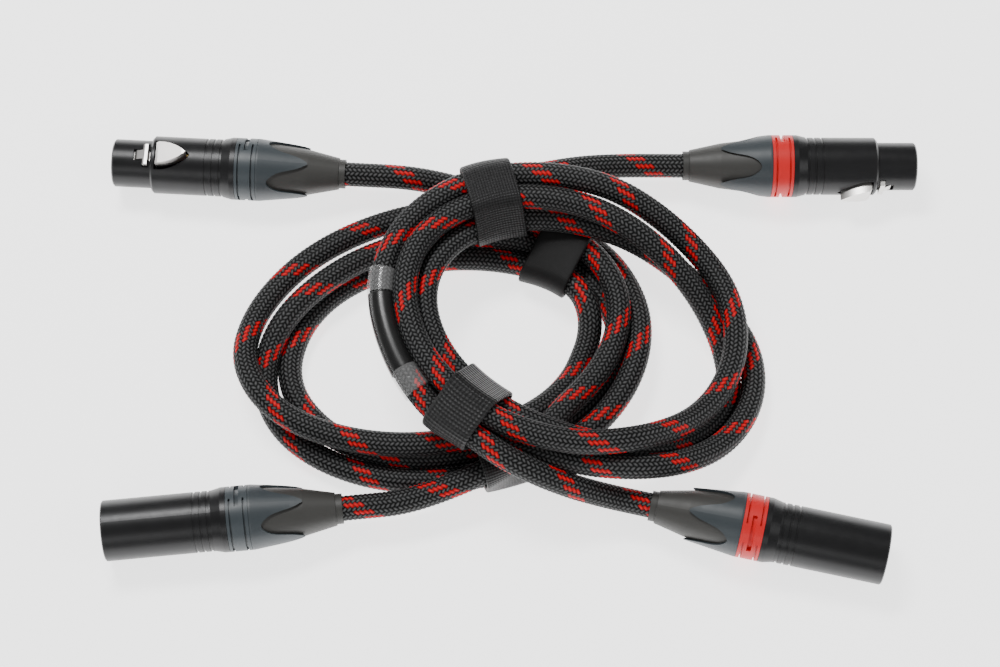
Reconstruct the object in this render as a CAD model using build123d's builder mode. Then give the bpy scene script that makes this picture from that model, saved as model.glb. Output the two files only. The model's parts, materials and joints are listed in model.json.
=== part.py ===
"""Two matched three-pole microphone cables, each wound into a flat coil and held by two straps.

The coil with the grey rings lies on the table and the coil with the red rings lies partly on it.
Each cable has a socket (female) connector on one end and a plug (male) connector on the other.

Millimetres, +Z up. The origin is on the table, under the middle of the whole set.
+X runs to the right, along the length of the connectors, and +Y runs away from the front edge.

Each connector is drawn about its own axis: local Z is 0 at the front and grows towards the cable,
and local X points to the side that the latch, or the key of a plug, is on.
"""
import os
from math import cos, pi, radians, sin, tan

from build123d import *

os.makedirs("parts", exist_ok=True)

# ---- driving dimensions ------------------------------------------------------------------------
CABLE_R = 3.9              # the braided cable, 7.8 mm over the braid
GAP = 0.1                  # between pieces that move against each other, end to end
COIL_HEIGHT = 14.0         # two layers of cable, the upper one lying in the gaps of the lower
FRONT_LIFT = 17.2          # the front coil where it lies on the back coil and its straps

RING_R = 10.2              # the widest part of a connector, which rests on the table
AXIS_Z = RING_R
NOSE_R = 7.8
BARREL_R = 9.5
SHELL_R = 9.4
SHELL_BORE_R = 7.0
REAR_BORE_R = 8.2
SPIGOT_R = REAR_BORE_R - 0.1
CONTACT_CIRCLE_R = 3.8
PIN_R = 1.2
SOCKET_R = 1.22
SOCKET_ENTRY_R = 1.6         # the insert's hole in front of each socket contact

THREAD_PITCH = 2.0
UNSCREW_TURNS = 3
UNSCREW_TRAVEL = THREAD_PITCH * UNSCREW_TURNS

# distances along a socket connector, from the front of its shell; what is behind the shell of
# a plug is PLUG_SHORTER nearer to its front
NOSE_LENGTH = 12.8
RING_FRONT = 40.3
RING_BACK = 47.3
CONE_BACK = 63.9
BOOT_BACK = 76.0
CHUCK_FRONT = 27.5
CABLE_START = 29.0
WIRE_START = 24.3
SOLDER_CUP_R = 0.95
PIN_SHOULDER_R = 1.6         # each pin is thicker where the insert holds it
PLUG_SHORTER = 1.7

# the coils: centre, half length and half width of an ellipse, and its turn in the plane
BACK_OUTER = ((-22.7, 2.5), 65.8, 48.8, 4.1)
BACK_INNER = ((-22.5, 3.1), 47.9, 30.0, 13.5)
FRONT_OUTER = ((17.4, 6.9), 64.6, 51.4, -24.4)
FRONT_INNER = ((19.3, 5.3), 46.3, 32.0, -19.1)
RAMP_HIGH_X = 31.0         # the front coil comes down from the back coil between these two
RAMP_LOW_X = 70.0

STRAP_THICKNESS = 1.5
STRAP_WIDTH = 16.0
STRAP_INSIDE = (21.0, COIL_HEIGHT)

# each connector: front of its shell, and the heading of its cable, in degrees
CONNECTORS = {
    "grey_socket": ((-131.03, 66.4), -3.1),
    "red_socket": ((131.4, 65.03), 179.8),
    "grey_plug": ((-127.5, -58.6), 5.6),
    "red_plug": ((114.9, -66.2), 167.7),
}
# turn about the axis of the latch or key, of the clamp nut's fingers and of the ring's slots
ROLLS = {
    "grey_socket": (0, -4, 48),
    "red_socket": (90, -20, -60),
    "grey_plug": (0, 10, 40),
    "red_plug": (0, 8, 30),
}


def save(piece, label):
    """Label one finished sub-part and write it as a node of its own."""
    piece.label = label
    export_step(piece, f"parts/{label}.step")


def outline(*corners):
    """A face in the plane of the axis, from (radius, distance along the axis) corners."""
    with BuildSketch(Plane.XZ) as face:
        with BuildLine():
            Polyline(*corners, close=True)
        make_face()
    return face.sketch


def rim_section(inner_r, outer_r, front, back, start=0.0):
    """A rectangle to be turned about the axis, beginning at the angle start."""
    with BuildSketch(Plane.XZ.rotated((0, 0, start))) as face:
        with Locations(((inner_r + outer_r) / 2, (front + back) / 2)):
            Rectangle(outer_r - inner_r, back - front)
    return face.sketch


def connector_place(name, roll=0.0):
    """The location of a connector's axis, with local X turned by roll from straight up."""
    (x, y), heading = CONNECTORS[name]
    along = Vector(cos(radians(heading)), sin(radians(heading)), 0)
    sideways = Vector(0, 0, 1).cross(along)
    up = Vector(0, 0, 1) * cos(radians(roll)) + sideways * sin(radians(roll))
    return Plane(origin=(x, y, AXIS_Z), x_dir=up, z_dir=along).location


def contact_spots(distance):
    """The three contacts, at the sides and opposite the latch, at one distance."""
    return [
        (0, CONTACT_CIRCLE_R, distance),
        (0, -CONTACT_CIRCLE_R, distance),
        (-CONTACT_CIRCLE_R, 0, distance),
    ]


# ---- the socket (female) connector ---------------------------------------------------------------
LATCH_PIVOT = (5.7, 6.4)   # radius and distance of the latch's pivot
LATCH_HALF_WIDTH = 3.7
LATCH_ARM_HALF = 1.55
LATCH_FLOOR = 4.0
WINDOW_HALF = 5.1
WINDOW_FRONT = 14.2
WINDOW_TIP = 25.7
GROOVES = (30.4, 32.8, 35.2)
GROOVE_WIDTH = 0.8
GROOVE_DEPTH = 0.35
SOCKET_INSERT_BACK = 21.5

with BuildPart() as socket_shell:
    revolve(
        outline(
            (SHELL_BORE_R, 0), (NOSE_R - 0.5, 0), (NOSE_R, 0.5), (NOSE_R, NOSE_LENGTH),
            (SHELL_R - 0.7, NOSE_LENGTH), (SHELL_R, NOSE_LENGTH + 0.7), (SHELL_R, 35.6),
            (RING_R, 38.8), (RING_R, RING_FRONT), (REAR_BORE_R, RING_FRONT), (REAR_BORE_R, 24),
            (SHELL_BORE_R, 24),
        ),
        axis=Axis.Z,
    )
    for groove in GROOVES:
        revolve(
            rim_section(SHELL_R - GROOVE_DEPTH, SHELL_R + 1, groove, groove + GROOVE_WIDTH),
            axis=Axis.Z,
            mode=Mode.SUBTRACT,
        )
    with BuildSketch(Plane.YZ.offset(LATCH_FLOOR)):
        with BuildLine():
            Line((WINDOW_HALF, WINDOW_FRONT), (-WINDOW_HALF, WINDOW_FRONT))
            ThreePointArc((-WINDOW_HALF, WINDOW_FRONT), (-3.9, 20.6), (0, WINDOW_TIP))
            ThreePointArc((0, WINDOW_TIP), (3.9, 20.6), (WINDOW_HALF, WINDOW_FRONT))
        make_face()
        with Locations((0, 10.0)):
            Rectangle(2 * LATCH_ARM_HALF + 0.8, 5.6)
        with Locations((0, 11.1)):
            Rectangle(2 * 3.95, 2.0)
    extrude(amount=10, mode=Mode.SUBTRACT)

with BuildPart() as socket_insert:
    with Locations((0, 0, 0.8)):
        Cylinder(SHELL_BORE_R - 0.05, SOCKET_INSERT_BACK - 0.8, align=(Align.CENTER, Align.CENTER, Align.MIN))
    with Locations(*contact_spots(0.8)):
        Cylinder(1.8, 60, mode=Mode.SUBTRACT)
    with Locations(*contact_spots(0.8)):
        Cylinder(1.8, 2.2, align=(Align.CENTER, Align.CENTER, Align.MIN))
    with Locations(*contact_spots(0)):
        Cylinder(SOCKET_ENTRY_R, 8, mode=Mode.SUBTRACT)
    with Locations((LATCH_FLOOR + 4, 0, (9.4 + SOCKET_INSERT_BACK) / 2)):
        Box(8, 8.4, SOCKET_INSERT_BACK - 9.4 + 0.1, mode=Mode.SUBTRACT)
    with Locations((LATCH_FLOOR + 4, 0, 8)):
        Box(8, 2 * LATCH_ARM_HALF + 0.5, 5.6, mode=Mode.SUBTRACT)

with BuildPart() as socket_contacts:
    with Locations(*contact_spots(3.05)):
        Cylinder(1.75, 20.95, align=(Align.CENTER, Align.CENTER, Align.MIN))
    with Locations(*contact_spots(3.05)):
        Cylinder(SOCKET_R, 12, align=(Align.CENTER, Align.CENTER, Align.MIN), mode=Mode.SUBTRACT)
    with Locations(*contact_spots(22.0)):
        Cylinder(SOLDER_CUP_R, 2.1, align=(Align.CENTER, Align.CENTER, Align.MIN), mode=Mode.SUBTRACT)

with BuildPart() as latch:
    with BuildSketch(Plane.YZ):
        with Locations((0, 11)):
            Rectangle(2 * LATCH_ARM_HALF, 9.2)
        with Locations((0, 11.1)):
            Rectangle(7.0, 1.5)
        with BuildLine():
            Line((LATCH_HALF_WIDTH, 14.7), (-LATCH_HALF_WIDTH, 14.7))
            ThreePointArc((-LATCH_HALF_WIDTH, 14.7), (-2.7, 20.4), (0, 24.6))
            ThreePointArc((0, 24.6), (2.7, 20.4), (LATCH_HALF_WIDTH, 14.7))
        make_face()
    extrude(amount=14)
    with BuildSketch(Plane.XZ):
        with BuildLine():
            Polyline(
                (5.0, 6.4), (5.2, 14.0), (7.3, 15.2), (7.3, 24.7), (12.1, 24.7), (12.0, 23.4),
                (10.6, 15.6), (9.6, 14.7), (6.5, 14.2), (6.5, 12.3), (7.0, 11.95), (8.5, 11.85),
                (8.5, 10.9), (7.4, 8.2), (6.4, 7.4), (6.4, 6.4),
                close=True,
            )
        make_face()
    extrude(amount=5, both=True, mode=Mode.INTERSECT)
    with Locations(Location((LATCH_PIVOT[0], 0, LATCH_PIVOT[1]), (90, 0, 0))):
        Cylinder(0.9, 2 * LATCH_ARM_HALF)

with BuildPart() as latch_spring:
    with BuildSketch(Plane.XZ):
        with BuildLine():
            Polyline(
                (LATCH_FLOOR + 0.03, 21.3), (LATCH_FLOOR + 0.28, 21.3), (LATCH_FLOOR + 0.28, 16.5),
                (7.0, 20.6), (7.0, 21.4), (7.22, 21.4), (7.22, 20.4), (4.6, 16.1),
                (LATCH_FLOOR + 0.2, 15.9), (LATCH_FLOOR + 0.03, 16.1),
                close=True,
            )
        make_face()
    extrude(amount=1.2, both=True)

# ---- the plug (male) connector -------------------------------------------------------------------
PLUG_BORE_R = 8.0
PLUG_INSERT_FRONT = 14.5
PLUG_INSERT_BACK = 21.5
PLUG_GROOVES = (28.2, 30.4, 32.6)
PIN_FRONT = 2.6

plug_ring = RING_FRONT - PLUG_SHORTER

with BuildPart() as plug_shell:
    revolve(
        outline(
            (PLUG_BORE_R, 0.3), (PLUG_BORE_R + 0.3, 0), (BARREL_R - 0.4, 0), (BARREL_R, 0.4),
            (BARREL_R, 34.0), (RING_R, 37.0), (RING_R, plug_ring), (REAR_BORE_R, plug_ring),
            (REAR_BORE_R, PLUG_INSERT_BACK + 1), (PLUG_BORE_R, PLUG_INSERT_BACK + 1),
        ),
        axis=Axis.Z,
    )
    for groove in PLUG_GROOVES:
        revolve(
            rim_section(BARREL_R - GROOVE_DEPTH, BARREL_R + 1, groove, groove + GROOVE_WIDTH),
            axis=Axis.Z,
            mode=Mode.SUBTRACT,
        )

with BuildPart() as plug_insert:
    with Locations((0, 0, PLUG_INSERT_FRONT)):
        Cylinder(
            PLUG_BORE_R - 0.05,
            PLUG_INSERT_BACK - PLUG_INSERT_FRONT,
            align=(Align.CENTER, Align.CENTER, Align.MIN),
        )
    with Locations(*contact_spots(19)):
        Cylinder(PIN_SHOULDER_R + 0.05, 20, mode=Mode.SUBTRACT)

with BuildPart() as plug_pins:
    with Locations(*contact_spots(PIN_FRONT)):
        Cylinder(PIN_R, PLUG_INSERT_BACK - PIN_FRONT + 0.05, align=(Align.CENTER, Align.CENTER, Align.MIN))
    with Locations(*contact_spots(PLUG_INSERT_FRONT)):
        Cylinder(
            PIN_SHOULDER_R,
            PLUG_INSERT_BACK - PLUG_INSERT_FRONT,
            align=(Align.CENTER, Align.CENTER, Align.MIN),
        )
    fillet(plug_pins.edges().filter_by(GeomType.CIRCLE).group_by(Axis.Z)[0], 0.9)
    with Locations(*contact_spots(PLUG_INSERT_BACK + 0.05)):
        Cylinder(1.7, 2.45, align=(Align.CENTER, Align.CENTER, Align.MIN))
    with Locations(*contact_spots(PLUG_INSERT_BACK + 1.0)):
        Cylinder(SOLDER_CUP_R, 3.0, align=(Align.CENTER, Align.CENTER, Align.MIN), mode=Mode.SUBTRACT)

# ---- what both connectors hold behind their shells ---------------------------------------------
SLOT_HALF_ANGLE = 34
SLIT_HALF_ANGLE = 72
FINGERS = 4
BOOT_BORE_R = CABLE_R + 0.15

with BuildPart() as clamp_chuck:
    revolve(
        outline(
            (CABLE_R + 0.02, CHUCK_FRONT), (7.3, CHUCK_FRONT), (7.3, 37.8), (6.05, 43.8),
            (CABLE_R + 0.02, 43.8),
        ),
        axis=Axis.Z,
    )
    with PolarLocations(5.6, 4, start_angle=45):
        with Locations((0, 0, 40)):
            Box(6.0, 0.8, 14, mode=Mode.SUBTRACT)

with BuildPart() as bushing:
    revolve(
        outline(
            (7.5, 34.5), (SPIGOT_R, 34.5), (SPIGOT_R, RING_BACK), (RING_R, RING_BACK),
            (RING_R, RING_BACK + 0.6), (8.25, CONE_BACK), (7.45, CONE_BACK), (9.28, 49.5),
            (BOOT_BORE_R + 0.6, 49.5), (BOOT_BORE_R + 0.6, 46.5), (6.3, 44.6), (7.5, 38.2),
        ),
        axis=Axis.Z,
    )
    for tongue in range(FINGERS):
        with BuildSketch(Plane.YZ.rotated((0, 0, 45 + 360 / FINGERS * tongue)).offset(4)):
            with BuildLine():
                Spline(
                    (-6.2, CONE_BACK + 1), (-5.0, 62.4), (-3.9, 57.4), (-2.3, 52.6), (0, 50.9),
                    (2.3, 52.6), (3.9, 57.4), (5.0, 62.4), (6.2, CONE_BACK + 1),
                )
                Line((6.2, CONE_BACK + 1), (-6.2, CONE_BACK + 1))
            make_face()
        extrude(amount=9, mode=Mode.SUBTRACT)

with BuildPart() as boot:
    revolve(
        outline(
            (BOOT_BORE_R, 49.6), (8.9, 49.6), (9.15, 50.0), (7.4, CONE_BACK), (5.35, 73.2),
            (5.2, 73.9), (4.75, 74.0), (4.75, BOOT_BACK), (BOOT_BORE_R, BOOT_BACK),
        ),
        axis=Axis.Z,
    )

with BuildPart() as colour_ring:
    revolve(
        rim_section(REAR_BORE_R + 0.05, RING_R, RING_FRONT + GAP, RING_BACK - GAP), axis=Axis.Z
    )
    for side in (0, 180):
        revolve(
            rim_section(RING_R - 1.2, RING_R + 1, 43.1, 44.5, side - SLOT_HALF_ANGLE),
            axis=Axis.Z,
            revolution_arc=2 * SLOT_HALF_ANGLE,
            mode=Mode.SUBTRACT,
        )
        for slit in (41.3, 45.6):
            revolve(
                rim_section(
                    RING_R - 1.0, RING_R + 1, slit, slit + 0.6, side + 90 - SLIT_HALF_ANGLE
                ),
                axis=Axis.Z,
                revolution_arc=2 * SLIT_HALF_ANGLE,
                mode=Mode.SUBTRACT,
            )


def wire_set(cable_start):
    """The three cores, each from its solder cup to the cut end of the cable."""
    with BuildPart() as cores:
        for spot in contact_spots(0):
            start = Vector(spot[0], spot[1], WIRE_START)
            end = Vector(spot[0] * 0.45, spot[1] * 0.45, cable_start - 0.6)
            with BuildSketch(Plane(origin=start, z_dir=end - start)):
                Circle(0.8)
            extrude(amount=(end - start).length)
    return cores.part


for name in CONNECTORS:
    latch_roll, finger_roll, slot_roll = ROLLS[name]
    fixed = connector_place(name, latch_roll)
    kind = name.split("_")[1]
    if kind == "socket":
        back = Location((0, 0, 0))
        save(fixed * socket_shell.part, f"{name}_shell")
        save(fixed * socket_insert.part, f"{name}_insert")
        save(fixed * socket_contacts.part, f"{name}_contacts")
        save(fixed * latch.part, f"{name}_latch")
        save(fixed * latch_spring.part, f"{name}_latch_spring")
    else:
        back = Location((0, 0, -PLUG_SHORTER))
        save(fixed * plug_shell.part, f"{name}_shell")
        save(fixed * plug_insert.part, f"{name}_insert")
        save(fixed * plug_pins.part, f"{name}_pins")
    save(fixed * wire_set(CABLE_START + back.position.Z), f"{name}_wires")
    save(fixed * back * clamp_chuck.part, f"{name}_clamp_chuck")
    save(connector_place(name, slot_roll) * back * colour_ring.part, f"{name}_colour_ring")
    save(connector_place(name, finger_roll) * back * bushing.part, f"{name}_bushing")
    save(connector_place(name, finger_roll) * back * boot.part, f"{name}_boot")

# ---- the two coils -------------------------------------------------------------------------------
RIM_ROUNDING = 3.0
BOOT_WAY_R = 9.0


def ring_face(outer, inner):
    """The plan of one coil: an ellipse with an elliptical hole."""
    with BuildSketch() as plan:
        with Locations(outer[0]):
            Ellipse(outer[1], outer[2], rotation=outer[3])
        with Locations(inner[0]):
            Ellipse(inner[1], inner[2], rotation=inner[3], mode=Mode.SUBTRACT)
    return plan.sketch


with BuildPart() as grey_coil:
    extrude(ring_face(BACK_OUTER, BACK_INNER), amount=COIL_HEIGHT)
    fillet(grey_coil.edges().group_by(Axis.Z)[-1], RIM_ROUNDING)
save(grey_coil.part, "grey_coil")

with BuildPart() as red_coil:
    extrude(ring_face(FRONT_OUTER, FRONT_INNER), amount=FRONT_LIFT + COIL_HEIGHT)
    with BuildSketch(Plane.XZ):
        with BuildLine():
            Polyline(
                (-60, FRONT_LIFT), (RAMP_HIGH_X, FRONT_LIFT), (RAMP_LOW_X, 0), (100, 0),
                (100, COIL_HEIGHT), (RAMP_LOW_X + 3, COIL_HEIGHT),
                (RAMP_HIGH_X + 3, FRONT_LIFT + COIL_HEIGHT), (-60, FRONT_LIFT + COIL_HEIGHT),
                close=True,
            )
        make_face()
    extrude(amount=90, both=True, mode=Mode.INTERSECT)
    # the turns bend clear of the way back of the plug's boot
    with Locations(connector_place("red_plug")):
        Cylinder(BOOT_WAY_R, 2 * BOOT_BACK + 16, mode=Mode.SUBTRACT)
save(red_coil.part, "red_coil")

# ---- the ends of the cables, from the cut end inside each connector to the coil ----------------
FREE_START = UNSCREW_TRAVEL + 0.5    # the cable is straight this far past the boot
# each tail: its first run, on in line with the connector, and then its bends up to the coil
TAILS = {
    "grey_socket": (14.0, ((-18.0, 58.4, 9.5), (-4.0, 53.2, 9.3), (9.0, 45.6, 9.5))),
    "red_socket": (13.0, ((21.5, 63.9, 12.0), (8.0, 59.0, 17.5))),
    "grey_plug": (12.0, ((-22.5, -45.6, 10.6), (-9.5, -40.6, 11.2))),
    "red_plug": (10.0, ((17.2, -44.6, 12.5), (6.2, -41.2, 18.2), (-5.0, -36.2, 20.6), (-14.0, -28.8, 20.9))),
}

for name, (first_run, bends) in TAILS.items():
    shorter = PLUG_SHORTER if name.endswith("plug") else 0.0
    axis_place = connector_place(name)
    straight_end = BOOT_BACK - shorter + FREE_START
    cut_end, free_start, first_corner = [
        (axis_place * Location((0, 0, distance))).position
        for distance in (CABLE_START - shorter, straight_end, straight_end + first_run)
    ]
    route = [free_start, first_corner] + [Vector(*bend) for bend in bends]
    radii = []
    for before, corner, after in zip(route, route[1:], route[2:]):
        turn = (corner - before).get_angle(after - corner)
        shorter_run = min((corner - before).length, (after - corner).length)
        radii.append(0.45 * shorter_run / tan(radians(turn) / 2))
    with BuildPart() as tail:
        with BuildLine() as tail_line:
            FilletPolyline(cut_end, *route[1:], radius=radii)
        with BuildSketch(Plane(origin=cut_end, z_dir=free_start - cut_end)):
            Circle(CABLE_R)
        sweep()
    length = sum(edge.length for edge in tail_line.edges())
    share = tail.part.volume / (pi * CABLE_R**2 * length)
    print(name, "tail radii", [round(radius) for radius in radii], "mm, length", round(length, 1),
          "mm, volume over section times length", round(share, 4))
    print("   corners", [tuple(round(value, 1) for value in corner) for corner in route])
    save(tail.part, f"{name}_tail")

# ---- hook-and-loop straps round the coils ------------------------------------------------------
STRAP_CORNER = 5.0
# which coil, and how far round the middle of its turns, in degrees
STRAPS = {
    "red_upper_strap": (FRONT_OUTER, FRONT_INNER, 135, FRONT_LIFT),
    "red_lower_strap": (FRONT_OUTER, FRONT_INNER, 249, FRONT_LIFT),
    "grey_upper_strap": (BACK_OUTER, BACK_INNER, 42, 0.0),
    "grey_lower_strap": (BACK_OUTER, BACK_INNER, 283, 0.0),
}

for name, (outer, inner, angle, base) in STRAPS.items():
    middle = [(outer[0][axis] + inner[0][axis]) / 2 for axis in (0, 1)]
    half_length, half_width = (outer[1] + inner[1]) / 2, (outer[2] + inner[2]) / 2
    tilt = radians((outer[3] + inner[3]) / 2)
    u, v = half_length * cos(radians(angle)), half_width * sin(radians(angle))
    du, dv = -half_length * sin(radians(angle)), half_width * cos(radians(angle))
    x = middle[0] + u * cos(tilt) - v * sin(tilt)
    y = middle[1] + u * sin(tilt) + v * cos(tilt)
    along = Vector(du * cos(tilt) - dv * sin(tilt), du * sin(tilt) + dv * cos(tilt), 0)
    # a strap that lies on the table goes under its coil, a lifted one round all of it
    inside_low = base if base else STRAP_THICKNESS
    inside_height = base + COIL_HEIGHT - inside_low
    centre = Vector(x, y, inside_low + inside_height / 2)
    with BuildPart() as strap:
        with BuildSketch(Plane(origin=centre, x_dir=along.cross(Vector(0, 0, 1)), z_dir=along)):
            RectangleRounded(
                STRAP_INSIDE[0] + 2 * STRAP_THICKNESS,
                inside_height + 2 * STRAP_THICKNESS,
                STRAP_CORNER + STRAP_THICKNESS,
            )
            RectangleRounded(
                STRAP_INSIDE[0], inside_height, STRAP_CORNER, mode=Mode.SUBTRACT
            )
        extrude(amount=STRAP_WIDTH / 2, both=True)
    save(strap.part, name)

# ---- the blank label on the red cable: a black sleeve under clear shrink tube -----------------
LABEL_Z = FRONT_LIFT + CABLE_R
SLEEVE_R = (CABLE_R + 0.02, 4.15)
SHRINK_R = (4.2, 4.45)
LABEL_ARC = ThreePointArc(*[(x, y, LABEL_Z) for x, y in ((-41.9, 21.0), (-37.9, 1.2), (-30.6, -19.8))])

for name, (inner_r, outer_r), ends in (
    ("label_sleeve", SLEEVE_R, (0.18, 0.76)),
    ("label_shrink", SHRINK_R, (0.0, 1.0)),
):
    with BuildPart() as tube:
        with BuildLine():
            curve = ThreePointArc(*[LABEL_ARC @ share for share in (ends[0], sum(ends) / 2, ends[1])])
        with BuildSketch(Plane(origin=curve @ 0, z_dir=curve % 0)):
            Circle(outer_r)
            Circle(inner_r, mode=Mode.SUBTRACT)
        sweep()
    save(tube.part, name)
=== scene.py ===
import json
import math

import bpy
import numpy as np
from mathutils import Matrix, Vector


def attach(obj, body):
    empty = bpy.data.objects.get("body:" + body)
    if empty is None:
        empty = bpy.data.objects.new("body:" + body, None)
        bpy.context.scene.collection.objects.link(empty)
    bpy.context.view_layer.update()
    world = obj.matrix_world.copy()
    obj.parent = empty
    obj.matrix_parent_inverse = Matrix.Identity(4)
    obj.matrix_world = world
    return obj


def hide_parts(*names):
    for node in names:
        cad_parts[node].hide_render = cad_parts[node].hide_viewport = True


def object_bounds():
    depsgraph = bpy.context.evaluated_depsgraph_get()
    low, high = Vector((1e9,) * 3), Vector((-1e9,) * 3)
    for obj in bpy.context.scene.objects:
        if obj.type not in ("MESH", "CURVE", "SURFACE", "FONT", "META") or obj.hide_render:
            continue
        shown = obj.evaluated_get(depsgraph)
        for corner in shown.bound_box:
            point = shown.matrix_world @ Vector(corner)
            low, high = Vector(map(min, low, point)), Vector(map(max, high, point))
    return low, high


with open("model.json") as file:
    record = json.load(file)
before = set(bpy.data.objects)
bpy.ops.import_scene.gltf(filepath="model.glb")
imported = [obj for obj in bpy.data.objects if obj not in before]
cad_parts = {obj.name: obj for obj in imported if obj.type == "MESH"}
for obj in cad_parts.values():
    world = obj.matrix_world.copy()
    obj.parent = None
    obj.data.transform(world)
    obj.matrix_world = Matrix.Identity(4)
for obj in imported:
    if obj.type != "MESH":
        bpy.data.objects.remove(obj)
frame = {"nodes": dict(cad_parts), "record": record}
cad_low, cad_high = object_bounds()

MM = 0.001               # sizes and places are in millimetres, and times MM in metres


def add_object(name, data):
    """A new object in the scene that shows a mesh, curve, lamp or camera."""
    item = bpy.data.objects.new(name, data)
    bpy.context.scene.collection.objects.link(item)
    return item


def distances_along(points):
    """How far along a line each of its points is."""
    return np.concatenate([[0], np.cumsum(np.linalg.norm(np.diff(points, axis=0), axis=1))])


# ---- camera: looking down at the table at 70 degrees ---------------------------------------------
CAMERA_DISTANCE = 0.770
CAMERA_ELEVATION = math.radians(70)
CENTRE = (cad_low + cad_high) / 2
AIM = Vector((CENTRE.x - 4.55 * MM, CENTRE.y + 10.4 * MM, cad_low.z))
LENS = 85.4

camera_data = bpy.data.cameras.new("camera")
camera_data.lens = LENS
camera_data.sensor_width = 36.0
camera_data.clip_start = 0.01
camera = add_object("camera", camera_data)
back = Vector((0, -math.cos(CAMERA_ELEVATION), math.sin(CAMERA_ELEVATION)))
camera.location = AIM + back * CAMERA_DISTANCE
camera.rotation_euler = (-back).to_track_quat("-Z", "Y").to_euler()
bpy.context.scene.camera = camera

# ---- routes of the two cables --------------------------------------------------------------------
# Millimetres, in the CAD model's frame. The connectors are in the CAD model's places, and the red socket's
# free end has the points of its tail there. The other three free ends run up to 2.3 mm beside and 6.4 mm
# over or under their tails.
CABLE_R = 3.9
CUT_END = 29.0           # how deep inside a connector the cable ends, from the connector's nose
AXIS_Z = 10.2            # height of the connectors' axes over the table

# each connector: its nose, the way it points (degrees) and how much shorter its back is
CONNECTORS = {
    "grey_socket": ((-131.03, 66.4), -3.1, 0.0),
    "red_socket": ((131.4, 65.03), 179.8, 0.0),
    "grey_plug": ((-127.5, -58.6), 5.6, 1.7),
    "red_plug": ((114.9, -66.2), 167.7, 1.7),
}

# the free ends, from each boot to the coil
TAILS = {
    "grey_socket": (
        (-48.7, 61.94, 10.2), (-38.0, 61.36, 10.2), (-29.0, 60.8, 8.6), (-18.0, 59.2, 6.0),
        (-4.0, 54.6, 4.4), (9.0, 47.6, 4.0),
    ),
    "red_socket": (
        (48.9, 65.3, 10.2), (35.9, 65.4, 10.2), (21.5, 63.9, 12.0), (8.0, 59.0, 17.5),
    ),
    "grey_plug": (
        (-47.1, -50.7, 10.2), (-35.1, -49.5, 10.2), (-22.5, -45.6, 11.2), (-9.5, -40.6, 12.6),
    ),
    "red_plug": (
        (36.0, -49.0, 10.2), (26.2, -47.3, 12.5), (17.2, -46.2, 17.5), (6.2, -43.6, 23.5),
        (-5.0, -38.6, 26.8), (-14.0, -31.6, 27.0),
    ),
}

# each coil: the ellipse along the middle of its turns, and its turn in the plane (degrees)
COILS = {
    "grey": {"centre": (-22.6, 2.8), "half": (56.85, 39.4), "tilt": 8.8},
    "red": {"centre": (18.35, 6.1), "half": (55.45, 41.7), "tilt": -21.75},
}
# the red coil's left part lies on the grey coil, and its right end comes down to the table
LIFT = 17.2
LIFTED_BEFORE_X = 28.0
LOW_AFTER_X = 72.0
STEP = 15.0              # degrees between two points of a turn

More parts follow.
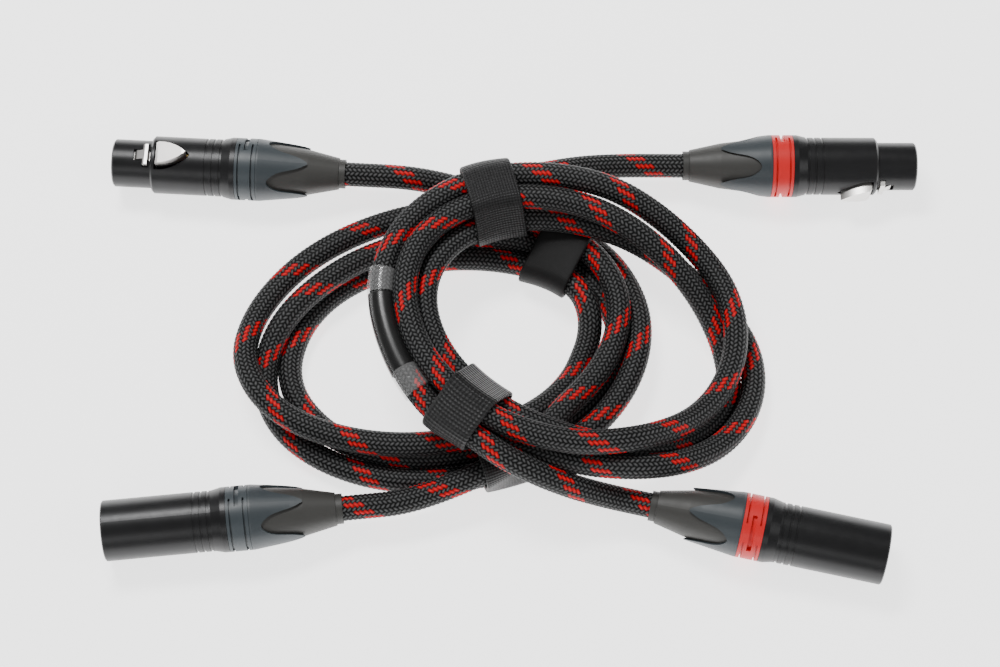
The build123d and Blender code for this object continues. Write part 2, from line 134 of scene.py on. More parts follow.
# where each turn lies: (degrees round the coil, out from the middle ellipse, height of the axis)
LANES = {
    "grey": (
        (293, 2.0, 11.8), (311, -4.3, 10.5), (328, -3.0, 10.2), (346, -1.8, 10.5), (360, 0.3, 10.8),
        (373, 2.2, 10.8), (390, 3.4, 10.5), (420, 4.5, 8.0), (450, 6.0, 6.0), (470, 6.0, 5.5),
        (487, 6.1, 5.5), (513, 5.9, 6.0), (530, 6.6, 8.0), (544, 4.6, 10.8), (562, 1.4, 11.2),
        (577, -1.3, 11.4), (593, -3.2, 11.4), (609, -4.3, 11.4), (625, -4.8, 11.4), (643, -5.2, 12.0),
        (658, -6.0, 8.0), (671, -7.5, 5.0), (690, -9.2, 3.9), (705, -10.0, 3.9), (720, -7.8, 6.0),
        (735, -5.8, 9.5), (742, -4.4, 10.0), (750, -3.6, 10.0), (765, -3.6, 8.0), (780, -4.0, 5.0),
        (810, -5.0, 3.9), (845, -4.4, 3.9), (882, -5.2, 3.9), (904, -5.0, 3.9), (922, -5.4, 3.9),
        (937, -4.4, 3.9), (985, -4.0, 3.9), (1003, -3.6, 5.4), (1031, 0.0, 3.9), (1065, 1.2, 3.9),
        (1080, 0.6, 3.9), (1095, -1.0, 3.9),
        (1110, -1.5, 3.9), (1140, -0.5, 8.0), (1170, -2.8, 10.0), (1190, -3.7, 10.4),
        (1218, -4.2, 10.4), (1235, -2.6, 9.5), (1250, -1.0, 7.0), (1264, 1.8, 4.4), (1282, 3.8, 3.9),
        (1330, 4.0, 3.9), (1363, 4.0, 5.4), (1391, 5.8, 8.5), (1425, 5.4, 9.0), (1440, 5.6, 7.0),
        (1455, 6.4, 4.5), (1470, 7.6, 3.9), (1483, 7.6, 4.2),
    ),
    "red": (
        (243, 8.3, 8.5), (225, 6.7, 8.6), (210, 5.7, 8.8), (195, 6.1, 8.6), (180, 6.2, 8.6),
        (165, 5.6, 9.0), (150, 4.6, 10.0), (135, 4.3, 10.5), (120, 3.1, 10.7), (105, 3.0, 11.0),
        (90, 3.0, 9.5), (75, 3.0, 8.5), (60, 2.7, 9.0), (50, 2.0, 10.0), (40, 0.2, 11.0),
        (30, -1.5, 11.5), (15, -3.6, 11.0), (0, -5.4, 10.0), (-15, -6.0, 8.5), (-34, -5.5, 9.0),
        (-50, -3.6, 10.0), (-68, -1.4, 10.7), (-97, 0.3, 11.0), (-125, 0.5, 11.0), (-160, 0.5, 11.0),
        (-190, 0.8, 11.0), (-210, 0.0, 11.0), (-225, -1.0, 11.0), (-240, -2.0, 11.0),
        (-255, -3.2, 11.0), (-270, -4.8, 10.5), (-285, -5.5, 11.0), (-300, -5.2, 11.0),
        (-315, -4.6, 9.5), (-330, -3.5, 6.0), (-345, -2.2, 4.0), (-360, -0.5, 3.9), (-401, -0.5, 3.9),
        (-420, -2.0, 3.9), (-435, -4.0, 3.9), (-450, -5.4, 3.9), (-471, -5.8, 4.2), (-485, -6.2, 5.0),
        (-520, -6.8, 6.0), (-555, -7.6, 6.0), (-585, -7.4, 4.0), (-600, -7.9, 3.9), (-630, -7.9, 3.9),
        (-645, -5.9, 3.9), (-660, -3.9, 3.9), (-675, -1.0, 3.9), (-690, 2.2, 3.9), (-705, 4.3, 4.5),
        (-720, 5.2, 6.0), (-735, 5.4, 7.5), (-761, 5.2, 8.0), (-780, 4.8, 5.0), (-795, 4.0, 3.9),
        (-831, 3.4, 3.9), (-880, 1.6, 3.9), (-915, 1.4, 3.9), (-930, 2.0, 3.9), (-945, 4.2, 3.9),
        (-953, 6.2, 3.9),
    ),
}


def inside_point(name, depth):
    """The point on a connector's axis at a depth behind its nose."""
    (x, y), turn, shorter = CONNECTORS[name]
    along = depth - shorter
    heading = math.radians(turn)
    return (x + along * math.cos(heading), y + along * math.sin(heading), AXIS_Z)


def around(coil, degrees, out):
    """The point over the table at an angle round a coil and so far out from its middle ellipse."""
    (cx, cy), (half_x, half_y) = coil["centre"], coil["half"]
    angle, tilt = math.radians(degrees), math.radians(coil["tilt"])
    x, y = half_x * math.cos(angle), half_y * math.sin(angle)
    normal = Vector((half_y * math.cos(angle), half_x * math.sin(angle))).normalized()
    x, y = x + out * normal.x, y + out * normal.y
    return (
        cx + x * math.cos(tilt) - y * math.sin(tilt),
        cy + x * math.sin(tilt) + y * math.cos(tilt),
    )


def lift_at(colour, x):
    """How far the underside of a coil is over the table. The red coil comes down in a smooth S."""
    if colour == "grey":
        return 0.0
    share = min(1.0, max(0.0, (LOW_AFTER_X - x) / (LOW_AFTER_X - LIFTED_BEFORE_X)))
    return LIFT * share * share * (3 - 2 * share)


def coil_points(colour):
    """The turns of one coil, a point every STEP degrees."""
    lanes = np.array(LANES[colour], float)
    order = np.argsort(lanes[:, 0])
    count = round(abs(lanes[-1, 0] - lanes[0, 0]) / STEP)
    points = []
    for degrees in np.linspace(lanes[0, 0], lanes[-1, 0], count + 1):
        out = np.interp(degrees, lanes[order, 0], lanes[order, 1])
        height = np.interp(degrees, lanes[order, 0], lanes[order, 2])
        x, y = around(COILS[colour], degrees, out)
        points.append((x, y, lift_at(colour, x) + height))
    return points


def cable_route(colour):
    """All points of a cable from its plug to its socket, and which of them are held still."""
    first, last = f"{colour}_plug", f"{colour}_socket"
    start = [inside_point(first, CUT_END)] + list(TAILS[first])
    turns = coil_points(colour)
    end = list(TAILS[last])[::-1] + [inside_point(last, CUT_END)]
    held = [True] * (len(start) - 1) + [False] * (len(turns) + 2) + [True] * (len(end) - 1)
    return np.array(start + turns + end), np.array(held)


# ---- the turns settle against each other ---------------------------------------------------------
TOUCHING = 2 * CABLE_R + 0.05
SETTLE_ROUNDS = 160
SAMPLES_PER_RUN = 4
NEAR_ALONG = 26.0        # stretches of one cable nearer than this along it don't push each other
PUSH = 1.6               # how much of an overlap one round takes away; over 1 settles faster
SMOOTHING = 0.25         # how far each point follows its two neighbours in one round
KEPT = 0.995             # share of its move that a point keeps, so that it stays near its lane
TINY = 1e-9              # keeps a division from meeting zero
STRAP_THICKNESS = 1.5
GREY_STRAPS_AT = (42.0, 283.0)       # degrees round the grey coil, which rests on these straps
STRAP_FOOT = 21.0        # how far round a strap's middle the cable is lifted off the table by it


def spline_matrix(count):
    """Rows that give points along a quadratic B-spline from its control points."""
    rows = []
    for index in range(1, count - 1):
        for share in (np.arange(SAMPLES_PER_RUN) + 0.5) / SAMPLES_PER_RUN:
            row = np.zeros(count)
            row[index - 1] = 0.5 * (1 - share) ** 2
            row[index] = 0.5 + share - share**2
            row[index + 1] = 0.5 * share**2
            rows.append(row)
    return np.array(rows)


def floor_heights(points, colour):
    """The lowest height that each point's axis may have."""
    floor = np.full(len(points), CABLE_R)
    if colour != "grey":
        return floor
    for degrees in GREY_STRAPS_AT:
        x, y = around(COILS["grey"], degrees, 0)
        far = np.hypot(points[:, 0] - x, points[:, 1] - y)
        floor = np.where(far < STRAP_FOOT, CABLE_R + STRAP_THICKNESS, floor)
    return floor


def joined_splines(counts):
    """One matrix of spline rows for all cables, and which cable each row belongs to."""
    blocks = [spline_matrix(count) for count in counts]
    weights = np.zeros((sum(len(block) for block in blocks), sum(counts)))
    row = column = 0
    for block in blocks:
        weights[row:row + block.shape[0], column:column + block.shape[1]] = block
        row, column = row + block.shape[0], column + block.shape[1]
    cable = np.concatenate([np.full(len(block), index) for index, block in enumerate(blocks)])
    return weights, cable


def may_touch(dense, cable):
    """Which pairs of points are on different cables, or far enough apart along one."""
    along = np.cumsum(np.linalg.norm(np.diff(dense, axis=0, prepend=dense[:1]), axis=1))
    return (cable[:, None] != cable[None, :]) | (np.abs(along[:, None] - along[None, :]) > NEAR_ALONG)


def settle(routes):
    """Pushes overlapping turns apart, staying close to their lanes. Some still overlap a little."""
    wanted = np.concatenate([points for points, _ in routes.values()])
    fixed = np.concatenate([held for _, held in routes.values()])
    floor = np.concatenate([floor_heights(points, colour) for colour, (points, _) in routes.items()])
    counts = [len(points) for points, _ in routes.values()]
    fixed[np.cumsum(counts) - 1] = True
    fixed[np.cumsum([0] + counts[:-1])] = True
    weights, cable = joined_splines(counts)
    share = weights.sum(0) + TINY
    apart = may_touch(weights @ wanted, cable)
    moved = np.zeros_like(wanted)
    for _ in range(SETTLE_ROUNDS):
        dense = weights @ (wanted + moved)
        difference = dense[:, None, :] - dense[None, :, :]
        distance = np.sqrt((difference**2).sum(-1)) + TINY
        overlap = np.where(apart, np.maximum(TOUCHING - distance, 0), 0)
        push = (difference / distance[..., None] * (0.5 * overlap)[..., None]).sum(1)
        touching = np.maximum((overlap > 0).sum(1), 1)
        moved += (weights.T @ (push / touching[:, None] * PUSH)) / share[:, None]
        smooth = moved.copy()
        smooth[1:-1] += SMOOTHING * (0.5 * (moved[:-2] + moved[2:]) - moved[1:-1])
        moved = smooth * KEPT
        moved[:, 2] = np.maximum(moved[:, 2], floor - wanted[:, 2])
        moved[fixed] = 0
    dense = weights @ (wanted + moved)
    distance = np.linalg.norm(dense[:, None, :] - dense[None, :, :], axis=-1)
    print("closest turns after settling:", round(float(distance[apart].min()), 2), "mm")
    settled, start = {}, 0
    for colour, count in zip(routes, counts):
        settled[colour] = (wanted + moved)[start:start + count]
        start += count
    return settled


SAME_PLACE = 1e-7        # metres; a point that is nearer than this to the one before it is dropped


def nurbs_line(name, points):
    """A smooth line through a route, as points closely spaced along it, in metres."""
    curve = bpy.data.curves.new(name, "CURVE")
    curve.dimensions = "3D"
    spline = curve.splines.new("NURBS")
    spline.points.add(len(points) - 1)
    for point, place in zip(spline.points, points):
        point.co = (*[value * MM for value in place], 1.0)
    spline.order_u = 3
    spline.use_endpoint_u = True
    spline.resolution_u = 16
    line = add_object(name, curve)
    mesh = bpy.data.meshes.new_from_object(line)
    coordinates = np.array([vertex.co for vertex in mesh.vertices])
    bpy.data.objects.remove(line)
    return coordinates


def evenly(points, spacing):
    """The same line with its points a given distance apart, and the distance of each along it."""
    steps = np.linalg.norm(np.diff(points, axis=0), axis=1)
    points = points[np.concatenate([[True], steps > SAME_PLACE])]
    along = distances_along(points)
    marks = np.linspace(0, along[-1], round(along[-1] / spacing) + 1)
    return np.stack([np.interp(marks, along, points[:, axis]) for axis in range(3)], 1), marks


def line_frames(points):
    """Two directions across a line at each point, carried along it without twist."""
    tangents = np.gradient(points, axis=0)
    tangents /= np.linalg.norm(tangents, axis=1)[:, None]
    across = np.zeros_like(points)
    across[0] = np.cross(tangents[0], (0, 0, 1))
    across[0] /= np.linalg.norm(across[0])
    for index in range(1, len(points)):
        step = across[index - 1] - tangents[index] * (across[index - 1] @ tangents[index])
        across[index] = step / np.linalg.norm(step)
    return across, np.cross(tangents, across)


# ---- the braided cables --------------------------------------------------------------------------
BRAID_LAY = 27 * MM      # one full turn of a carrier round the cable
CARRIERS = 18            # in each direction
FLOAT = 2                # how many carriers of the other direction each one passes over at a time
REPEAT = 2 * FLOAT
RED_CARRIERS = 4         # neighbours, of one direction only
RELIEF = 0.36 * MM
RELIEF_INSIDE = 0.75     # share of the relief that lies within the cable's stated radius
CROWN_NARROWING = 1.9    # a carrier's round top, across it: 2 is a half circle over its whole width
LOWEST_CROWN = 0.03
FLOAT_DIP = 0.75         # how much lower a float is where it goes under, one carrier from its middle
LOWEST_FLOAT = 0.1
ROUND_COUNT = 72
RING_SPACING = BRAID_LAY / ROUND_COUNT


def braid_relief(along, around_share):
    """How proud the braid stands: two sets of carriers, each over two and under two. along is in turns
    of a carrier round the cable."""
    first = CARRIERS * (along - around_share)
    second = CARRIERS * (along + around_share)
    first_number, second_number = np.floor(first), np.floor(second)
    over = np.mod(first_number - second_number, REPEAT) < FLOAT
    first_length = np.mod(first_number - second + FLOAT, REPEAT) - FLOAT
    second_length = np.mod(first - second_number - 1, REPEAT) - FLOAT
    length_share = np.where(over, first_length, second_length)
    width_share = np.where(over, first - first_number, second - second_number) - 0.5
    crown = np.sqrt(np.maximum(1 - (CROWN_NARROWING * width_share) ** 2, LOWEST_CROWN))
    return crown * np.maximum(1 - FLOAT_DIP * length_share**2, LOWEST_FLOAT)


def tube_mesh(name, points, radii, around_count, turns_per_length=None):
    """A closed tube along a line. radii is one per ring, or one per ring and side. The UV is how far
    along it a corner is, as a share of its length or in turns, and how far round as a share."""
    across, upward = line_frames(points)
    angles = np.linspace(0, 2 * math.pi, around_count, endpoint=False)
    radii = np.broadcast_to(np.asarray(radii, float).reshape(len(points), -1), (len(points), around_count))
    rings = (
        points[:, None, :]
        + radii[..., None] * np.cos(angles)[None, :, None] * across[:, None, :]
        + radii[..., None] * np.sin(angles)[None, :, None] * upward[:, None, :]
    )
    vertices = rings.reshape(-1, 3)
    ring, side = np.meshgrid(np.arange(len(points) - 1), np.arange(around_count), indexing="ij")
    following = (side + 1) % around_count
    quads = np.stack(
        [ring * around_count + side, ring * around_count + following,
         (ring + 1) * around_count + following, (ring + 1) * around_count + side], -1,
    ).reshape(-1, 4)
    caps = [list(range(around_count))[::-1], list(range((len(points) - 1) * around_count, len(vertices)))]
    mesh = bpy.data.meshes.new(name)
    mesh.from_pydata(vertices.tolist(), [], quads.tolist() + caps)
    along = distances_along(points)
    scale = turns_per_length or 1 / (along[-1] + TINY)
    corners = np.stack([ring, ring, ring + 1, ring + 1], -1).reshape(-1)
    sides = np.stack([side, side + 1, side + 1, side], -1).reshape(-1) / around_count
    uv = np.zeros((len(mesh.loops), 2), np.float32)
    uv[:len(corners), 0] = along[corners] * scale
    uv[:len(corners), 1] = sides
    layer = mesh.uv_layers.new(name="along_and_around")
    layer.data.foreach_set("uv", uv.ravel())
    mesh.polygons.foreach_set("use_smooth", [True] * len(mesh.polygons))
    mesh.update()
    return add_object(name, mesh)


def braided_cable(colour, line):
    """The cable's mesh, with every float of its braid standing proud."""
    points, marks = evenly(line, RING_SPACING)
    along = (marks / BRAID_LAY)[:, None]
    shares = (np.arange(ROUND_COUNT) / ROUND_COUNT)[None, :]
    radii = CABLE_R * MM - RELIEF * RELIEF_INSIDE + RELIEF * braid_relief(along, shares)
    return tube_mesh(f"{colour}_cable", points, radii, ROUND_COUNT, 1 / BRAID_LAY), points


routes = {colour: cable_route(colour) for colour in ("grey", "red")}
lines = {}
cables = {}
for colour, points in settle(routes).items():
    line = nurbs_line(f"{colour}_line", points)
    cables[colour], lines[colour] = braided_cable(colour, line)
    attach(cables[colour], "root")
    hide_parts(f"{colour}_coil", f"{colour}_plug_tail", f"{colour}_socket_tail")

# ---- straps --------------------------------------------------------------------------------------
STRAP_WIDTH = 16.0
STRAP_GAP = 0.35         # between a strap and the cable
STRAP_AROUND = 144       # points round a strap
STRAP_REACH = 16.0       # turns nearer than this to the coil's middle ellipse are held
ROUND_STEPS = 720        # directions in which a strap's loop is pulled tight
EDGE_ANGLES = (0.5, 1.0, 1.4)        # radians round a strap's rounded edge
FLAT_POINTS = 7          # across the flat of a strap
FLAT_INSET = 2.0         # from a strap's edge to its flat

# each strap: its coil, and where it sits in degrees round the coil
STRAPS = {
    "red_upper_strap": ("red", 135.0),
    "red_lower_strap": ("red", 249.0),
    "grey_upper_strap": ("grey", GREY_STRAPS_AT[0]),
    "grey_lower_strap": ("grey", GREY_STRAPS_AT[1]),
}


def crossings(line, middle, tangent, near=None):
    """Where a line passes through a strap's plane: (place along the line, across, height). With near,
    the crossings found before, it gives the one next to each of them."""
    side = (line[:, :2] / MM - middle) @ tangent
    across = np.array([tangent[1], -tangent[0]])
    found = []
    for index in np.nonzero(side[:-1] * side[1:] < 0)[0]:
        share = side[index] / (side[index] - side[index + 1])
        place = (line[index] * (1 - share) + line[index + 1] * share) / MM
        found.append((index, float((place[:2] - middle) @ across), place[2]))
    if near is None:
        return [item for item in found if abs(item[1]) < STRAP_REACH]
    return [min(found, key=lambda item: abs(item[0] - start[0])) for start in near]


def wrap_round(circles, radius):
    """A loop of points, even in angle, that wraps tightly round circles of one radius."""
    angles = np.linspace(0, 2 * math.pi, ROUND_STEPS, endpoint=False)
    outward = np.stack([np.cos(angles), np.sin(angles)], 1)
    furthest = np.argmax(circles @ outward.T, axis=0)
    loop = circles[furthest] + radius * outward
    seen = loop - circles.mean(0)
    turn = np.arctan2(seen[:, 1], seen[:, 0])
    order = np.argsort(turn)
    marks = np.linspace(-math.pi, math.pi, STRAP_AROUND, endpoint=False)
    return np.stack(
        [np.interp(marks, turn[order], loop[order, axis], period=2 * math.pi) for axis in (0, 1)], 1,
    )


def strap_profile():
    """A strap's section with rounded edges: (place across its width, height over its middle)."""
    half, edge = STRAP_WIDTH / 2, STRAP_THICKNESS / 2
    top = [(-half, 0.0)]
    top += [(-half + edge * (1 - math.cos(a)), edge * math.sin(a)) for a in EDGE_ANGLES]
    top += [(offset, edge) for offset in np.linspace(-half + FLAT_INSET, half - FLAT_INSET, FLAT_POINTS)]
    top += [(half - edge * (1 - math.cos(a)), edge * math.sin(a)) for a in reversed(EDGE_ANGLES)]
    top += [(half, 0.0)]
    return top + [(offset, -height) for offset, height in top[-2:0:-1]]


def strap_loops(colour, degrees, profile):
    """A tight loop round the turns of one coil for each point of a strap's section, in metres."""
    here = np.array(around(COILS[colour], degrees, 0))
    ahead = np.array(around(COILS[colour], degrees + 0.5, 0))
    tangent = (ahead - here) / np.linalg.norm(ahead - here)
    across = np.array([tangent[1], -tangent[0]])
    held = crossings(lines[colour], here, tangent)
    rows = []
    for offset, height in profile:
        middle = here + tangent * offset
        circles = np.array(crossings(lines[colour], middle, tangent, held))[:, 1:]
        loop = wrap_round(circles, CABLE_R + STRAP_GAP + STRAP_THICKNESS / 2 + height)
        rows.append(np.concatenate([middle + loop[:, :1] * across, loop[:, 1:]], 1))
    loops = np.array(rows) * MM
    loops[..., 2] = np.maximum(loops[..., 2], cad_low.z)
    return loops


def ring_faces(row_count, ring_count):
    """The quads of a grid of points that closes on itself both ways."""
    faces = []
    for row in range(row_count):
        for step in range(ring_count):
            next_row, next_step = (row + 1) % row_count, (step + 1) % ring_count
            faces.append((
                row * ring_count + step, row * ring_count + next_step,
                next_row * ring_count + next_step, next_row * ring_count + step,
            ))
    return faces


def strap(name, colour, degrees):
    """A woven strap pulled tight round the turns of one coil. The UV is in millimetres: round the
    strap, and across it."""
    profile = strap_profile()
    vertices = strap_loops(colour, degrees, profile)
    faces = ring_faces(len(profile), STRAP_AROUND)
    mesh = bpy.data.meshes.new(name)
    mesh.from_pydata(vertices.reshape(-1, 3).tolist(), [], faces)
    mesh.polygons.foreach_set("use_smooth", [True] * len(mesh.polygons))
    layer = mesh.uv_layers.new(name="round_and_across")
    outside = vertices[len(profile) // 4]
    round_marks = distances_along(np.concatenate([outside, outside[:1]])) / MM
    for polygon, face in zip(mesh.polygons, faces):
        step = face[0] % STRAP_AROUND
        for corner, vertex in zip(polygon.loop_indices, face):
            row, place = divmod(vertex, STRAP_AROUND)
            if place < step:
                place += STRAP_AROUND
            layer.data[corner].uv = (round_marks[place], profile[row][0])
    mesh.update()
    piece = add_object(name + "_webbing", mesh)
    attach(piece, "root")
    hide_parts(name)
    return piece


straps = {name: strap(name, *where) for name, where in STRAPS.items()}

# ---- label ---------------------------------------------------------------------------------------
LABEL_MIDDLE = (-37.9, 1.2)
LABEL_WITHIN = 350 * MM  # the label is on the first stretch of the cable, this far from the plug
SHRINK_HALF = 21.5 * MM
SLEEVE_HALF = 13.5 * MM
SHRINK_R = 4.75 * MM
SLEEVE_R = 4.45 * MM
LABEL_SPACING = 0.5 * MM
LABEL_SIDES = 64


def label_tube(name, half_length, radius):
    """A tube over the red cable, so far each way from where the cable first passes the label's middle."""
    line = lines["red"]
    marks = distances_along(line)
    far = np.hypot(line[:, 0] - LABEL_MIDDLE[0] * MM, line[:, 1] - LABEL_MIDDLE[1] * MM)
    middle = marks[int(np.argmin(np.where(marks < LABEL_WITHIN, far, 1)))]
    keep = (marks > middle - half_length) & (marks < middle + half_length)
    points, _ = evenly(line[keep], LABEL_SPACING)
    return tube_mesh(name, points, np.full(len(points), radius), LABEL_SIDES)


shrink = label_tube("label_shrink_tube", SHRINK_HALF, SHRINK_R)
sleeve = label_tube("label_sleeve_tube", SLEEVE_HALF, SLEEVE_R)
for piece, node, slot in (
    (shrink, "label_shrink", "clear_shrink"), (sleeve, "label_sleeve", "black_sleeve"),
):
    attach(piece, "root")
    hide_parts(node)


# ---- materials -----------------------------------------------------------------------------------
# Crevice colours are painted shade and crown colours painted highlights, for the braid and the webbing.
PAINTED_SHADE_BLACK_CREVICE = (0.001, 0.001, 0.001, 1)
PAINTED_HIGHLIGHT_GREY_CROWN = (0.110, 0.112, 0.113, 1)
PAINTED_SHADE_RED_CREVICE = (0.16, 0.001, 0.002, 1)
PAINTED_HIGHLIGHT_RED_CROWN = (0.90, 0.012, 0.018, 1)
PAINTED_SHADE_WEBBING_CREVICE = (0.003, 0.003, 0.003, 1)
FILAMENTS = 40.0         # ripples across a carrier, in radians
GRAIN_SCALE = 400.0


class Nodes:
    """Adds nodes to one material. Wherever a method takes a value, it takes a socket or a number."""

    def __init__(self, name):
        self.material = bpy.data.materials.new(name)
        self.material.use_nodes = True
        self.tree = self.material.node_tree
        self.shader = self.tree.nodes["Principled BSDF"]

    def add(self, kind, **settings):
        node = self.tree.nodes.new(kind)
        for key, value in settings.items():
            setattr(node, key, value)
        return node

    def link(self, value, socket):
        if isinstance(value, bpy.types.NodeSocket):
            self.tree.links.new(value, socket)
        else:
            socket.default_value = value

    def math(self, operation, first, second=0.0, third=0.0):
        node = self.add("ShaderNodeMath", operation=operation)
        for value, socket in zip((first, second, third), node.inputs):
            self.link(value, socket)
        return node.outputs[0]

    def pick(self, switch, off, on):
        """One of two numbers, by a switch that is 0 or 1."""
        difference = self.math("SUBTRACT", on, off)
        return self.math("MULTIPLY_ADD", difference, switch, off)

    def mix(self, share, first, second):
        """A colour between two others."""
        node = self.add("ShaderNodeMix", data_type="RGBA")
        self.link(share, node.inputs["Factor"])
        self.link(first, node.inputs[6])
        self.link(second, node.inputs[7])
        return node.outputs[2]

    def noise(self, vector, scale, detail):
        node = self.add("ShaderNodeTexNoise")
        self.link(vector, node.inputs["Vector"])
        node.inputs["Scale"].default_value = scale
        node.inputs["Detail"].default_value = detail
        return node.outputs["Fac"]

    def span(self, value, low, high):
        """A number from 0 to 1 brought to the span from low to high."""
        node = self.add("ShaderNodeMapRange")
        self.link(value, node.inputs["Value"])
        node.inputs["To Min"].default_value = low
        node.inputs["To Max"].default_value = high
        return node.outputs["Result"]

    def uv(self):
        node = self.add("ShaderNodeSeparateXYZ")
        self.link(self.add("ShaderNodeUVMap").outputs[0], node.inputs[0])
        return node.outputs[0], node.outputs[1]

    def position(self):
        return self.add("ShaderNodeTexCoord").outputs["Object"]

    def bump(self, height, distance, strength):
        node = self.add("ShaderNodeBump")
        node.inputs["Distance"].default_value = distance
        node.inputs["Strength"].default_value = strength
        self.link(height, node.inputs["Height"])
        self.link(node.outputs[0], self.shader.inputs["Normal"])

    def set(self, **values):
        """Sets the shader's sockets, their names written with _ for spaces, and gives the material."""
        for key, value in values.items():
            self.link(value, self.shader.inputs[key.replace("_", " ")])
        return self.material


def braid_material():
    """Dark filaments in a two-over-two braid, some carriers of the first set in red. Each crown gets a
    painted highlight, and each carrier's edges and float ends get painted shade.
    """
    nodes = Nodes("braided_nylon")
    along, share = nodes.uv()
    first = nodes.math("MULTIPLY", nodes.math("SUBTRACT", along, share), CARRIERS)
    second = nodes.math("MULTIPLY", nodes.math("ADD", along, share), CARRIERS)
    first_number, second_number = nodes.math("FLOOR", first), nodes.math("FLOOR", second)
    place = nodes.math("FLOORED_MODULO", nodes.math("SUBTRACT", first_number, second_number), REPEAT)
    over = nodes.math("LESS_THAN", place, FLOAT - 0.5)
    carrier = nodes.math("FLOORED_MODULO", first_number, CARRIERS)
    red = nodes.math("MULTIPLY", over, nodes.math("LESS_THAN", carrier, RED_CARRIERS - 0.5))
    first_width = nodes.math("SUBTRACT", nodes.math("SUBTRACT", first, first_number), 0.5)
    second_width = nodes.math("SUBTRACT", nodes.math("SUBTRACT", second, second_number), 0.5)
    first_start = nodes.math("ADD", nodes.math("SUBTRACT", first_number, second), FLOAT)
    first_length = nodes.math("SUBTRACT", nodes.math("FLOORED_MODULO", first_start, REPEAT), FLOAT)
    second_start = nodes.math("SUBTRACT", nodes.math("SUBTRACT", first, second_number), 1.0)
    second_length = nodes.math("SUBTRACT", nodes.math("FLOORED_MODULO", second_start, REPEAT), FLOAT)
    across = nodes.pick(over, second_width, first_width)
    float_along = nodes.pick(over, second_length, first_length)
    width = nodes.math("MULTIPLY", nodes.math("MULTIPLY", across, across), 4.0)
    length = nodes.math("MULTIPLY", float_along, float_along)
    crown = nodes.math("MAXIMUM", nodes.math("SUBTRACT", 1.0, nodes.math("ADD", width, length)), 0.0)
    filaments = nodes.math("SINE", nodes.math("MULTIPLY", across, FILAMENTS))
    tone = nodes.noise(nodes.position(), scale=900.0, detail=3.0)
    lit = nodes.math("MULTIPLY", nodes.math("POWER", crown, 1.5), nodes.span(tone, 0.6, 1.4))
    # Painted shade in the crevices and a painted highlight on the crowns, set by each carrier's shape.
    dark = nodes.mix(lit, PAINTED_SHADE_BLACK_CREVICE, PAINTED_HIGHLIGHT_GREY_CROWN)
    bright = nodes.mix(nodes.span(lit, 0.35, 1.0), PAINTED_SHADE_RED_CREVICE, PAINTED_HIGHLIGHT_RED_CROWN)
    ripple = nodes.math("ADD", nodes.math("MULTIPLY", filaments, 0.5), tone)
    nodes.bump(ripple, 0.05 * MM, strength=0.5)
    return nodes.set(
        Base_Color=nodes.mix(red, dark, bright), Roughness=nodes.span(tone, 0.28, 0.46),
        Specular_IOR_Level=0.14,
    )


def webbing_material(name, pitch, painted_crown_highlight, gloss, depth):
    """Black woven webbing: a lattice of threads, pitch millimetres apart and depth millimetres deep,
    with a painted highlight on the crowns and painted shade between them. The third argument is the crowns'
    tone, and gloss the least roughness."""
    nodes = Nodes(name)
    round_strap, across = nodes.uv()
    lattice = nodes.math("MULTIPLY", nodes.math("ADD", round_strap, across), math.pi / pitch)
    counter = nodes.math("MULTIPLY", nodes.math("SUBTRACT", round_strap, across), math.pi / pitch)
    crossed = nodes.math("MULTIPLY", nodes.math("SINE", lattice), nodes.math("SINE", counter))
    weave = nodes.math("MULTIPLY_ADD", crossed, 0.5, 0.5)
    tone = nodes.noise(nodes.position(), scale=1200.0, detail=3.0)
    lit = nodes.math("MULTIPLY", weave, nodes.span(tone, 0.6, 1.3))
    nodes.bump(nodes.math("MULTIPLY_ADD", tone, 0.3, weave), depth * MM, strength=0.9)
    return nodes.set(
        # The base colour paints shade in the gaps between threads and a highlight on their crowns.
        Base_Color=nodes.mix(lit, PAINTED_SHADE_WEBBING_CREVICE, (painted_crown_highlight, painted_crown_highlight, painted_crown_highlight * 1.02, 1)),
        Roughness=nodes.span(tone, gloss, gloss + 0.15), Specular_IOR_Level=0.3,
    )


def surface(name, colour, second, roughness, metallic=0.0, depth=0.02):
    """Moulded or coated surface, its fine grain depth millimetres deep, that varies between two tones."""
    nodes = Nodes(name)
    grain = nodes.noise(nodes.position(), scale=GRAIN_SCALE, detail=4.0)
    broad = nodes.noise(nodes.position(), scale=GRAIN_SCALE / 12, detail=2.0)
    nodes.bump(grain, depth * MM, strength=0.5)
    return nodes.set(
        Base_Color=nodes.mix(broad, (*colour, 1), (*second, 1)),
        Roughness=nodes.span(grain, roughness - 0.05, roughness + 0.08), Metallic=metallic,
    )


def clear_material(name, tone, alpha):
    """Clear heat-shrink tube. Its crinkled ends are whiter and less clear than its middle: partly milky
    plastic, partly a painted glare.
    """
    nodes = Nodes(name)
    grain = nodes.noise(nodes.position(), scale=900.0, detail=3.0)
    nodes.bump(grain, 0.15 * MM, strength=0.5)
    return nodes.set(
        Base_Color=nodes.mix(grain, (tone * 0.5, tone * 0.5, tone * 0.5, 1), (tone, tone, tone, 1)),
        Roughness=nodes.span(grain, 0.08, 0.25), Alpha=alpha, Specular_IOR_Level=0.8, Coat_Weight=0.6,
    )


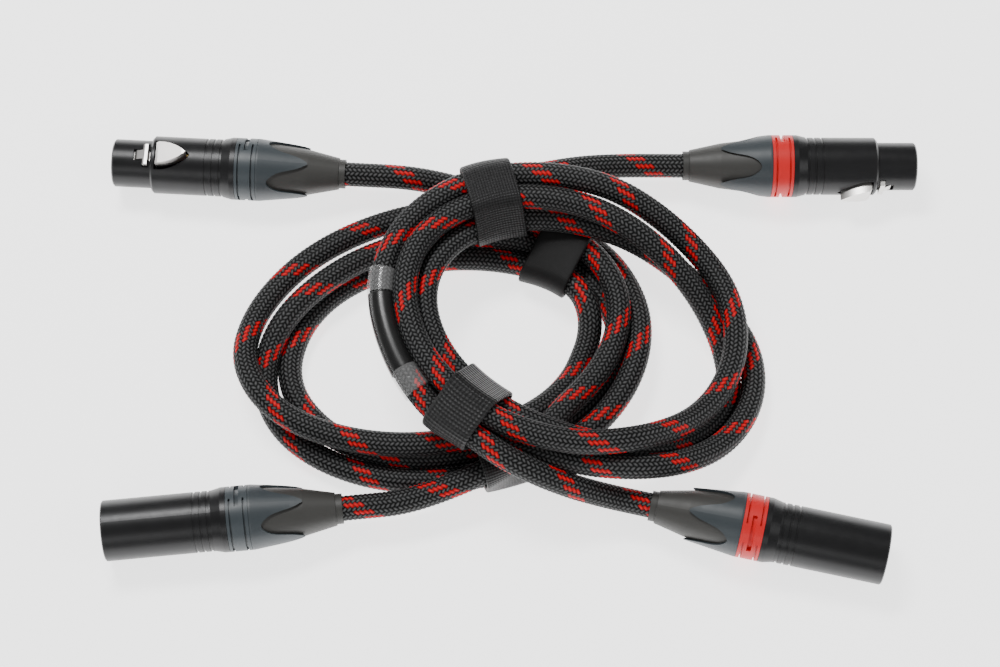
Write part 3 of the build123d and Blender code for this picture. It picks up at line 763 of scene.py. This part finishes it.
FINISHES = {
    "black_shell": surface("satin_black_shell", (0.010, 0.010, 0.011), (0.016, 0.016, 0.017), 0.34, 0.3),
    "black_insert": surface("black_insert", (0.012, 0.012, 0.012), (0.02, 0.02, 0.02), 0.45),
    "gold_contact": surface("gold_plate", (0.9, 0.65, 0.25), (0.85, 0.6, 0.2), 0.2, metallic=1.0),
    "nickel_latch": surface("nickel", (0.86, 0.84, 0.81), (0.78, 0.76, 0.74), 0.4, metallic=1.0),
    "spring_steel": surface("spring_steel", (0.5, 0.5, 0.5), (0.42, 0.42, 0.42), 0.3, metallic=1.0),
    "grey_ring": surface("grey_ring", (0.042, 0.054, 0.062), (0.048, 0.061, 0.069), 0.42),
    "red_ring": surface("red_ring", (0.80, 0.012, 0.014), (0.72, 0.010, 0.012), 0.4),
    "slate_bushing": surface("slate_bushing", (0.038, 0.048, 0.055), (0.045, 0.056, 0.063), 0.42),
    "rubber_boot": surface("rubber_boot", (0.042, 0.041, 0.038), (0.050, 0.049, 0.045), 0.5, depth=0.04),
    "white_chuck": surface("white_chuck", (0.7, 0.7, 0.68), (0.75, 0.75, 0.73), 0.5),
    "wire_insulation": surface("wire_insulation", (0.3, 0.05, 0.05), (0.35, 0.06, 0.06), 0.45),
    "black_sleeve": surface("black_sleeve", (0.006, 0.006, 0.006), (0.01, 0.01, 0.01), 0.3),
    "clear_shrink": clear_material("clear_tube", tone=0.1, alpha=0.06),
    "braided_cable": braid_material(),
    "black_strap": webbing_material("black_webbing", pitch=0.9, painted_crown_highlight=0.026, gloss=0.36, depth=0.22),
}
# two of the straps are woven differently
MESH_WEBBING = webbing_material("black_webbing_mesh", pitch=1.25, painted_crown_highlight=0.032, gloss=0.3, depth=0.35)
SMOOTH_WEBBING = webbing_material("black_webbing_smooth", pitch=0.5, painted_crown_highlight=0.004, gloss=0.5, depth=0.05)
OTHER_WEBBINGS = {"red_lower_strap": MESH_WEBBING, "grey_upper_strap": SMOOTH_WEBBING}

for part in frame["record"]["subparts"]:
    materials = frame["nodes"][part["node"]].data.materials
    materials.clear()
    materials.append(FINISHES[part["material_slot"]])
for piece in cables.values():
    piece.data.materials.append(FINISHES["braided_cable"])
for name, piece in straps.items():
    piece.data.materials.append(OTHER_WEBBINGS.get(name, FINISHES["black_strap"]))
sleeve.data.materials.append(FINISHES["black_sleeve"])
shrink.data.materials.append(FINISHES["clear_shrink"])
# The ends' whitish, less clear colour is partly milky plastic and partly a painted glare.
shrink.data.materials.append(clear_material("clear_tube_end", tone=0.7, alpha=0.24))
shrink_rings = (len(shrink.data.polygons) - 2) // LABEL_SIDES      # without the two caps
for polygon in shrink.data.polygons:
    share = polygon.index // LABEL_SIDES / shrink_rings
    polygon.material_index = int(abs(share - 0.5) > 0.5 * SLEEVE_HALF / SHRINK_HALF)


# ---- table and light -----------------------------------------------------------------------------
TABLE_REACH = 3.0
TABLE_GAP = 0.2 * MM     # under the lowest point of the CAD model
WORLD_LIGHT = 0.22


def table_top():
    """A pale table. It glows, so that it shows nearly white."""
    mesh = bpy.data.meshes.new("table_top")
    reach, z = TABLE_REACH, cad_low.z - TABLE_GAP
    mesh.from_pydata(
        [(-reach, -reach, z), (reach, -reach, z), (reach, reach, z), (-reach, reach, z)], [], [(0, 1, 2, 3)],
    )
    top = add_object("table_top", mesh)
    mesh.materials.append(Nodes("pale_table").set(
        Base_Color=(0.93, 0.93, 0.93, 1), Roughness=0.8, Emission_Color=(1, 1, 1, 1), Emission_Strength=2.2,
    ))


def area_light(name, place, size, power):
    """A rectangular lamp that points at the middle of the table."""
    data = bpy.data.lights.new(name, "AREA")
    data.shape = "RECTANGLE"
    data.size, data.size_y = size
    data.energy = power
    lamp = add_object(name, data)
    lamp.location = place
    lamp.rotation_euler = (Vector((0, 0, 0)) - Vector(place)).to_track_quat("-Z", "Y").to_euler()


table_top()
area_light("key", (-0.25, 0.45, 0.9), (0.4, 0.2), 8)
area_light("fill", (0.8, -0.3, 0.8), (0.6, 0.6), 2.5)
area_light("front", (-0.3, -0.9, 0.7), (0.8, 0.4), 2)
world = bpy.data.worlds.new("world")
world.use_nodes = True
background = world.node_tree.nodes["Background"]
background.inputs["Color"].default_value = (1, 1, 1, 1)
background.inputs["Strength"].default_value = WORLD_LIGHT
bpy.context.scene.world = world
